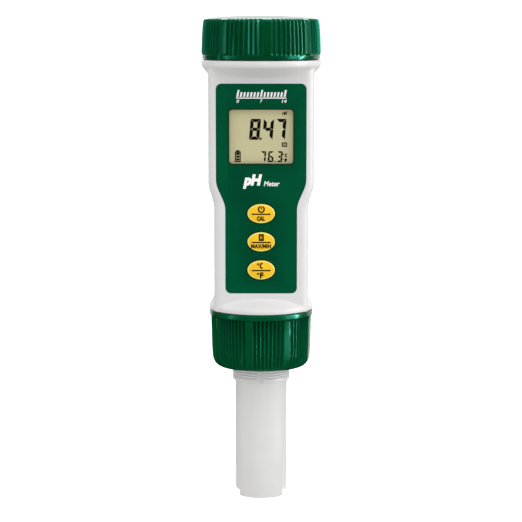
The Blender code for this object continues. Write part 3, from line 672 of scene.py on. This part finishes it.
def housing_cavity():
    heights = spread((CAVITY_Z[0], WAIST_ROWS[0], 4), (*WAIST_ROWS, 10), (WAIST_ROWS[1], CAVITY_Z[1], 4))
    directions = section_directions()[::2]
    rings = []
    for z in heights:
        reach = [section_radius(d, z, WALL, FRONT_WALL) for d in directions]
        rings.append([(r * d.x, r * d.y, z) for r, d in zip(reach, directions)])
    return lofted(rings)


def overlay_outline(grown=0.0):
    low, high = OVERLAY_Z[0] - grown, OVERLAY_Z[1] + grown
    narrow, wide = (half + grown for half in OVERLAY_HALF_WIDTHS)
    corner = OVERLAY_CORNER + grown
    right = arc((narrow - corner, low + corner), corner, -90, 0, 12)
    steps = 32
    for i in range(steps + 1):
        height = OVERLAY_WAIST[0] + (OVERLAY_WAIST[1] - OVERLAY_WAIST[0]) * i / steps
        right.append((narrow + (wide - narrow) * smooth_step(height, *OVERLAY_WAIST), height))
    right += arc((wide - corner, high - corner), corner, 0, 90, 12)
    return right + [(-x, z) for x, z in reversed(right)]


def make_housing():
    face = -FRONT
    neck_top = UPPER_NECK[2]
    neck_low = LOWER_NECK[2]
    window = {grown: window_outline(grown) for grown in (0.0, 1.0, 1.2)}
    steps = [
        ("UNION", turned([
            (0, 150.5), (UPPER_NECK[0], 150.5), (UPPER_NECK[0], 152.3), (16.1, 152.4), (16.1, 154.0),
            (UPPER_NECK[0], 154.1), (UPPER_NECK[0], neck_top - 0.5), (16.4, neck_top - 0.15),
            (16.1, neck_top), (0, neck_top),
        ])),
        ("UNION", turned([
            (0, neck_low), (14.1, neck_low), (14.4, neck_low + 0.15), (LOWER_NECK[0], neck_low + 0.5),
            (LOWER_NECK[0], 63.7), (14.1, 63.8), (14.1, 65.4), (LOWER_NECK[0], 65.5),
            (LOWER_NECK[0], 67.0), (0, 67.0),
        ])),
        *thread(UPPER_NECK[0], 1, 155.0, 0.55),
        *thread(LOWER_NECK[0], 1, 58.3, 0.55),
        ("DIFFERENCE", housing_cavity()),
        ("DIFFERENCE", rod(UPPER_NECK[1], (148.0, 163.0))),
        ("DIFFERENCE", rod(LOWER_NECK[1], (56.0, 67.5))),
        ("DIFFERENCE", rod(7.9, (66.0, 71.0), segments=72)),
        ("DIFFERENCE", plate([
            (overlay_outline(0.05), face - 0.2), (overlay_outline(0.05), face + 0.55),
        ])),
        ("DIFFERENCE", plate([(window[1.2], face - 0.5), (window[1.2], face + 1.6)])),
        ("DIFFERENCE", plate([(window[0.0], face), (window[0.0], face + 4.0)])),
    ]
    for height in KEY_HEIGHTS.values():
        pocket = ellipse(KEY_HALF_AXES, height, 0.7)
        steps.append(("DIFFERENCE", plate([(pocket, face - 0.5), (pocket, face + 1.6)])))
        hole = ellipse((1.6, 1.6), height, steps=32)
        steps.append(("DIFFERENCE", plate([(hole, face), (hole, face + 4.0)])))
    shell = combined(housing_outside(), steps)
    new_object("housing_shell", shell, WHITE, "housing", ["housing"], sharp=32)


# ---------------------------------------------------------------- keypad and display


def window_outline(grown=0.0):
    z = (WINDOW_Z[0] - grown, WINDOW_Z[1] + grown)
    return rounded_rectangle(WINDOW_HALF_WIDTH + grown, z, WINDOW_CORNER + grown * 0.5)


def make_overlay():
    front, back = OVERLAY_FRONT, OVERLAY_BACK
    film = plate([
        (overlay_outline(), back), (overlay_outline(), front + 0.16), (overlay_outline(-0.05), front + 0.06),
        (overlay_outline(-0.16), front + 0.01), (overlay_outline(-0.3), front),
    ])
    holes = [window_outline()]
    holes += [ellipse(KEY_HALF_AXES, height, KEY_GAP) for height in KEY_HEIGHTS.values()]
    steps = [("DIFFERENCE", plate([(hole, front - 1), (hole, back + 1)])) for hole in holes]
    shape = combined(film, steps)
    new_object("keypad_film", shape, OVERLAY, "housing", ["keypad_overlay"], sharp=30)


def key_shape(height):
    """The middle of a key's cap, inside its rim, whose paler yellow is a painted highlight."""
    edge = -KEY_RIM - 0.01
    sides = [(edge, 0.9), (edge, 0.03), (edge - 0.05, 0.0)]
    return plate([(ellipse(KEY_HALF_AXES, height, grown), KEY_FRONT + depth) for grown, depth in sides])


def key_rim_shape(height):
    """The rim of a key's cap, with a rounded outer edge."""
    sides = [
        (0.0, 0.9), (0.0, 0.4), (-0.02, 0.28), (-0.07, 0.16), (-0.15, 0.07), (-0.26, 0.02),
        (-KEY_RIM + 0.03, 0.0), (-KEY_RIM, 0.02), (-KEY_RIM, 0.9),
    ]
    rings = []
    for grown, depth in sides:
        rings.append([(x, KEY_FRONT + depth, z) for x, z in ellipse(KEY_HALF_AXES, height, grown)])
    return lofted(rings, closed=True)


def key_base_shape(height):
    """The dark flange that keeps a key behind the film, with the stem that presses its switch."""
    flange = ellipse(KEY_HALF_AXES, height, 0.6)
    stem = ellipse((1.3, 1.3), height, steps=32)
    base = plate([(flange, -10.0), (flange, -10.37)])
    return combined(base, [("UNION", plate([(stem, -7.25), (stem, -10.2)]))])


def text_shape(words, box, face, slant=0.0, bold=0.0, thickness=INK):
    """Raised lettering that fills a box of ((x, x), (z, z)) on a flat face at y, read from the front."""
    curve = bpy.data.curves.new("words", "FONT")
    curve.body = words
    curve.extrude = 0.5
    curve.offset = bold
    curve.resolution_u = 3
    obj = bpy.data.objects.new("words", curve)
    bpy.context.scene.collection.objects.link(obj)
    mesh = bpy.data.meshes.new_from_object(obj.evaluated_get(bpy.context.evaluated_depsgraph_get()))
    bm = bmesh.new()
    bm.from_mesh(mesh)
    bpy.data.objects.remove(obj)
    bpy.data.curves.remove(curve)
    bpy.data.meshes.remove(mesh)
    bmesh.ops.remove_doubles(bm, verts=bm.verts, dist=1e-5)
    for vert in bm.verts:
        vert.co.x += slant * vert.co.y
    low = [min(v.co[i] for v in bm.verts) for i in range(3)]
    high = [max(v.co[i] for v in bm.verts) for i in range(3)]
    (x0, x1), (z0, z1) = box
    for vert in bm.verts:
        across, up, out = ((vert.co[i] - low[i]) / (high[i] - low[i]) for i in range(3))
        vert.co = (x0 + (x1 - x0) * across, face + ROOT - (thickness + ROOT) * out, z0 + (z1 - z0) * up)
    return bm


def flat_shape(outline, face, thickness=INK):
    return plate([(outline, face + ROOT), (outline, face - thickness)])


def bar(x, z, face, thickness=INK):
    return flat_shape([(x[0], z[0]), (x[1], z[0]), (x[1], z[1]), (x[0], z[1])], face, thickness)


def ring_shape(outside, inside, face):
    """A flat ring between two outlines with the same number of points."""
    back, front = face + ROOT, face - INK
    layers = [(outside, back), (outside, front), (inside, front), (inside, back)]
    return lofted([[(x, y, z) for x, z in outline] for outline, y in layers], closed=True)


def frame_bar(x, z, stroke, face, thickness):
    """A rectangle's outline, as four bars that don't overlap."""
    return [
        bar(x, (z[0], z[0] + stroke), face, thickness),
        bar(x, (z[1] - stroke, z[1]), face, thickness),
        bar((x[0], x[0] + stroke), (z[0] + stroke, z[1] - stroke), face, thickness),
        bar((x[1] - stroke, x[1]), (z[0] + stroke, z[1] - stroke), face, thickness),
    ]


def make_keys():
    legends = {"power": power_legend, "hold": hold_legend, "unit": unit_legend}
    for name, height in KEY_HEIGHTS.items():
        body = f"{name}_key"
        new_object(f"{name}_key_cap", key_shape(height), YELLOW, body, [body], sharp=50)
        # The rim's paler yellow is a painted highlight.
        new_object(f"{name}_key_rim", key_rim_shape(height), KEY_RIM_HIGHLIGHT, body, sharp=50)
        # The flange is black partly as the keypad rubber and partly as painted shade, so the gap round each
        # key shows dark.
        new_object(f"{name}_key_base", key_base_shape(height), RUBBER, body)
        shapes = legends[name](height, KEY_FRONT)
        shapes.append(bar((-3.2, 3.2), (height - 0.39, height + 0.06), KEY_FRONT))
        new_object(f"{name}_key_legend", joined(shapes), BLACK_INK, body)


def power_legend(height, face):
    centre = height + 1.5
    radius, stroke = 0.98, 0.5
    outer = arc((0.05, centre), radius + stroke / 2, 65, -245, 28)
    inner = arc((0.05, centre), radius - stroke / 2, -245, 65, 28)
    ring = flat_shape(outer + inner, face)
    stem = bar((-0.14, 0.24), (centre - 0.1, centre + 1.1), face)
    return [ring, stem, text_shape("CAL", ((-1.5, 1.25), (height - 2.45, height - 0.85)), face, bold=0.065)]


def hold_legend(height, face):
    outline = rounded_rectangle(0.88, (height + 0.32, height + 2.72), 0.15, 4, 0.06)
    box = plate([(outline, face + ROOT), (outline, face - INK)])
    low, high, y = height + 0.95, height + 2.1, (face - 0.5, face + 0.5)
    letter = [block((-0.27, -0.09), y, (low, high)), block((0.17, 0.35), y, (low, high))]
    letter.append(block((-0.2, 0.3), y, (height + 1.4, height + 1.62)))
    words = text_shape("MAX/MIN", ((-3.45, 3.45), (height - 2.2, height - 0.72)), face, bold=0.045)
    return [combined(box, [("DIFFERENCE", shape) for shape in letter]), words]


def letter_c(x, z, stroke, face):
    """An upright C, because the built-in font's round letters stay thin."""
    centre = ((x[0] + x[1]) / 2, (z[0] + z[1]) / 2)
    half = ((x[1] - x[0]) / 2, (z[1] - z[0]) / 2)
    outline = []
    for inset, start, end in ((0, 48, 312), (stroke, 312, 48)):
        for turn, step in arc((0, 0), 1.0, start, end, 24):
            outline.append((centre[0] + (half[0] - inset) * turn, centre[1] + (half[1] - inset) * step))
    return flat_shape(outline, face)


def unit_legend(height, face):
    low_c, low_f = height + 0.48, height - 2.8
    shapes = [
        letter_c((-0.55, 0.88), (low_c - 0.05, low_c + 2.05), 0.5, face),
        text_shape("F", ((-0.45, 0.8), (low_f - 0.05, low_f + 2.0)), face, bold=0.06),
    ]
    for low in (low_c, low_f):
        ring = arc((-1.08, low + 1.5), 0.4, 0, 360, 20)[:-1]
        hole = arc((-1.08, low + 1.5), 0.13, 0, 360, 20)[:-1]
        shapes.append(ring_shape(ring, hole, face))
    return shapes


def make_prints():
    """The white print on the film: a 0 to 14 scale of slanted bars, and the quantity that is measured."""
    face = OVERLAY_FRONT
    slant = 0.2
    shapes = []
    left, right, low = -8.4, 8.4, 139.55
    numbers = {0: "0", 7: "7", 14: "14"}
    count = 15
    pitch = (right - left) / (count - 0.3)
    width = pitch * 0.55
    for i in range(count):
        tall = 2.35 if i in numbers else 1.6
        x = left + pitch * i
        lean = slant * tall
        outline = [(x, low), (x + width, low), (x + width + lean, low + tall), (x + lean, low + tall)]
        shapes.append(flat_shape(outline, face))
    shapes.append(bar((left - 0.1, right + 0.1), (139.0, 139.35), face))
    for number, x in zip(numbers.values(), (-7.9, 0.05, 7.8)):
        half = 0.42 * len(number)
        box = ((x - half, x + half), (137.55, 138.65))
        shapes.append(text_shape(number, box, face, slant=slant, bold=0.02))
    shapes.append(text_shape("pH", ((-6.2, 0.35), (108.35, 113.3)), face, slant=0.22, bold=0.065))
    shapes.append(text_shape("Meter", ((0.9, 6.35), (109.2, 110.95)), face, slant=0.2, bold=0.02))
    new_object("film_print", joined(shapes), WHITE_INK, "housing")
    border = ring_shape(window_outline(0.45), window_outline(0.02), face)
    new_object("window_border", border, BORDER_INK, "housing")


SEGMENTS_OF = {"3": "abgcd", "4": "fgbc", "6": "afgedc", "7": "abc", "8": "abcdefg"}


def digit_shapes(digit, x, z, width, tall, stroke, slant, face):
    """A seven-segment digit with mitred corners, slanted to the right."""
    gap, half, mid = 0.07, stroke / 2, tall / 2
    across = [
        (gap, tall), (width - gap, tall), (width - stroke - gap, tall - stroke),
        (stroke + gap, tall - stroke),
    ]
    upright = [
        (0, tall - gap), (0, mid + gap), (half, mid + gap), (stroke, mid + half + gap),
        (stroke, tall - stroke - gap),
    ]
    outlines = {
        "a": across,
        "d": [(px, tall - pz) for px, pz in across],
        "f": upright,
        "b": [(width - px, pz) for px, pz in upright],
        "e": [(px, tall - pz) for px, pz in upright],
        "c": [(width - px, tall - pz) for px, pz in upright],
        "g": [
            (half + gap, mid), (stroke + gap, mid + half), (width - stroke - gap, mid + half),
            (width - half - gap, mid), (width - stroke - gap, mid - half), (stroke + gap, mid - half),
        ],
    }
    shapes = []
    for segment in SEGMENTS_OF[digit]:
        outline = [(x + px + slant * pz, z + pz) for px, pz in outlines[segment]]
        shapes.append(flat_shape(outline, face, SEGMENT))
    return shapes


def make_display():
    """The display cell: a slab behind the front wall, whose upper glass stands in the window."""
    slab = rounded_rectangle(11.4, (113.65, 137.55), 0.4, 4)
    glass = window_outline(-0.12)
    front = plate([(glass, -8.0), (glass, CELL_FACE)])
    cell = combined(plate([(slab, -6.6), (slab, -8.45)]), [("UNION", front)])
    new_object("display_cell_glass", cell, LCD, "housing", ["display_cell"])


def make_display_marks():
    """The display's dark segments: a large reading, a small one below it, and small marks at the edges."""
    face = CELL_FACE
    slant = 0.085
    large, small = 124.95, 117.3  # heights of the two readings' feet
    shapes = []
    for digit, x in (("8", -4.15), ("4", 0.35), ("7", 4.55)):
        shapes += digit_shapes(digit, x, large, 3.5, 7.1, 1.12, slant, face)
    shapes.append(bar((-0.5, 0.15), (large, large + 0.7), face, SEGMENT))
    for digit, x in (("7", -0.45), ("6", 2.15), ("3", 5.2)):
        shapes += digit_shapes(digit, x, small, 1.9, 3.75, 0.62, slant, face)
    shapes.append(bar((4.42, 4.85), (small, small + 0.45), face, SEGMENT))
    shapes += battery_mark(face)
    box = ((7.05, 8.8), (133.05, 134.55))
    shapes.append(text_shape("pH", box, face, slant=0.2, bold=0.1, thickness=SEGMENT))
    shapes += frame_bar((7.05, 8.8), (122.5, 124.05), 0.36, face, SEGMENT)
    shapes.append(text_shape("C", ((7.5, 8.3), (122.95, 123.65)), face, bold=0.05, thickness=SEGMENT))
    for letter, low in (("C", 119.0), ("F", 117.3)):
        box = ((7.95, 8.8), (low, low + 1.25))
        shapes.append(text_shape(letter, box, face, bold=0.09, thickness=SEGMENT))
        shapes.append(bar((7.35, 7.72), (low + 0.85, low + 1.2), face, SEGMENT))
    new_object("display_segments", joined(shapes), LCD_INK, "housing")


def battery_mark(face):
    shapes = frame_bar((-8.95, -6.95), (117.3, 120.95), 0.4, face, SEGMENT)
    shapes.append(bar((-8.5, -7.4), (120.97, 121.4), face, SEGMENT))
    for low in (117.85, 118.8, 119.75):
        shapes.append(bar((-8.45, -7.45), (low, low + 0.76), face, SEGMENT))
    return shapes


# ---------------------------------------------------------------- cap and collar


def grip_columns(phase):
    """(angle, groove share) round a grip: groups of ribs between plain strips."""
    group = 360 / GRIP_GROUPS
    strip = group - RIBS_IN_GROUP * RIB_PITCH
    per_rib = 8
    columns = []
    for g in range(GRIP_GROUPS):
        start = phase - strip / 2 + g * group - 90
        columns += [(start + strip * i / 4, 0.0) for i in range(1, 4)]
        for i in range(RIBS_IN_GROUP * per_rib + 1):
            wave = 0.5 - 0.5 * math.cos(math.tau * i / per_rib)
            columns.append((start + strip + RIB_PITCH * i / per_rib, wave ** RIB_SHARPNESS))
    return [(math.radians(angle), share) for angle, share in columns]


def grip_shell(rows, phase):
    """A ribbed solid from rows of (radius, height, rib share)."""
    columns = grip_columns(phase)
    rings = []
    for radius, height, share in rows:
        ring = []
        for angle, groove in columns:
            r = radius - RIB_DEPTH * share * groove
            ring.append((r * math.cos(angle), r * math.sin(angle), height))
        rings.append(ring)
    return lofted(rings)


def make_cap():
    rows = [
        (19.9, 152.0, 0), (20.1, 152.05, 0), (20.2, 152.2, 0), (20.26, 152.9, 0), (20.26, 153.4, 0),
        (20.24, 153.6, 0.1), (20.35, 153.78, 0.4), (20.47, 153.95, 0.8), (20.54, 154.15, 1),
        (20.56, 154.5, 1), (20.42, 159.5, 1), (20.14, 163.6, 1), (19.98, 164.6, 1), (19.88, 165.1, 1),
        (19.7, 165.4, 1), (19.4, 165.62, 1), (19.1, 165.75, 0.8), (18.85, 165.82, 0.45),
        (18.6, 165.88, 0.12), (18.2, 165.95, 0), (16.0, 166.25, 0), (12.0, 166.55, 0), (8.0, 166.75, 0),
        (4.0, 166.86, 0), (1.2, 166.9, 0),
    ]
    bore = 17.9
    shape = combined(grip_shell(rows, 5.5), [
        ("DIFFERENCE", turned([
            (0, 151.0), (18.6, 151.0), (18.3, 152.2), (bore, 152.5), (bore, 163.0), (17.6, 163.3), (0, 163.3),
        ])),
        *thread(bore, -1, 156.5, 0.4),
    ])
    new_object("screw_cap", shape, CAP_GREEN, "battery_cap", ["battery_cap"], sharp=42)


def make_collar():
    rows = [
        (13.4, 45.62, 0), (13.9, 45.64, 0), (14.6, 45.8, 0), (15.3, 46.15, 0.05), (15.9, 46.65, 0.4),
        (16.35, 47.3, 0.8), (16.7, 48.2, 1), (16.92, 49.2, 1), (17.02, 50.2, 1), (17.16, 52.5, 1),
        (17.3, 57.0, 1), (17.42, 63.3, 1), (17.46, 63.5, 0.6), (17.56, 63.62, 0.1), (17.78, 63.7, 0),
        (17.9, 63.85, 0), (17.93, 64.1, 0), (17.93, 65.2, 0), (17.85, 65.45, 0), (17.62, 65.6, 0),
    ]
    bore = 15.7
    shape = combined(grip_shell(rows, -14.0), [
        ("DIFFERENCE", turned([
            (0, 45.0), (10.6, 45.0), (10.1, 46.0), (10.1, 48.5), (14.4, 48.5), (14.4, 56.6), (bore, 56.6),
            (bore, 65.3), (16.1, 65.7), (16.1, 67.0), (0, 67.0),
        ])),
        *thread(bore, -1, 59.8, 0.4),
    ])
    body = "electrode_collar"
    new_object("screw_collar", shape, GREEN, body, [body], sharp=42)


# ---------------------------------------------------------------- electrode


def make_electrode():
    """The sleeve: a barrel with flats at its tip, grooved below the collar, and a wide head inside it."""
    bore, low, high, crest, valley = 7.0, 8.85, 9.02, 9.92, 9.55
    profile = [
        (bore + 0.2, 0), (low - 0.12, 0), (low - 0.03, 0.04), (low, 0.14), (low + 0.1, 20.0), (high, 40.3),
        (high + 0.05, 40.6), (crest - 0.15, 40.82), (crest, 41.05),
    ]
    grooves = (42.39, 43.34, 44.26)
    for groove in grooves:
        profile += [
            (crest, groove - 0.27), (crest - 0.06, groove - 0.17), (valley, groove - 0.05),
            (valley, groove + 0.05), (crest - 0.06, groove + 0.17), (crest, groove + 0.27),
        ]
    profile += [
        (crest, 48.8), (13.2, 48.8), (13.6, 49.2), (13.6, 56.3), (8.2, 56.3), (8.2, 54.6), (bore, 54.6),
        (bore, 0.2),
    ]
    steps = []
    for side in (-1, 1):
        flat = sorted((side * 7.45, side * 12.0))
        steps.append(("DIFFERENCE", block(flat, (-12.0, 12.0), (-1.0, 2.0))))
        pad = sorted((side * 8.5, side * 9.86))
        steps.append(("UNION", block((-1.3, 1.3), pad, (40.75, 45.5))))
        vent = sorted((side * 9.5, side * 12.0))
        steps.append(("DIFFERENCE", block((-0.72, 0.72), vent, (40.4, 44.9))))
    shape = combined(turned(profile, 160), steps)
    replaced = ["electrode_barrel"]
    new_object("electrode_body", shape, ELECTRODE_WHITE, "electrode", replaced, sharp=32)


# ---------------------------------------------------------------- CAD pieces that stay


CAD_MATERIALS = {
    "white_plastic": WHITE,
    "clear_lens": LENS,
    "display_glass": LCD,
    "black_plastic": BLACK,
    "black_rubber": RUBBER,
    "grey_rubber": GREY_RUBBER,
    "circuit_board": BOARD,
    "steel": STEEL,
    "gold_contact": GOLD,
    "polyimide": AMBER,
    "sensor_glass": GLASS,
    "ceramic": CERAMIC,
    "natural_plastic": NATURAL,
    "green_plastic": GREEN,
    "green_overlay": OVERLAY,
    "yellow_key": YELLOW,
}


def finish_cad_nodes():
    """Gives every CAD node the material of its slot in the record."""
    for entry in frame["record"]["subparts"]:
        mesh = frame["nodes"][entry["node"]].data
        mesh.materials.clear()
        mesh.materials.append(CAD_MATERIALS[entry["material_slot"]])


make_camera()
make_lights()
make_stage()
finish_cad_nodes()
make_housing()
make_overlay()
make_keys()
make_prints()
make_display()
make_display_marks()
make_cap()
make_collar()
make_electrode()
bpy.context.scene.view_settings.view_transform = "Standard"
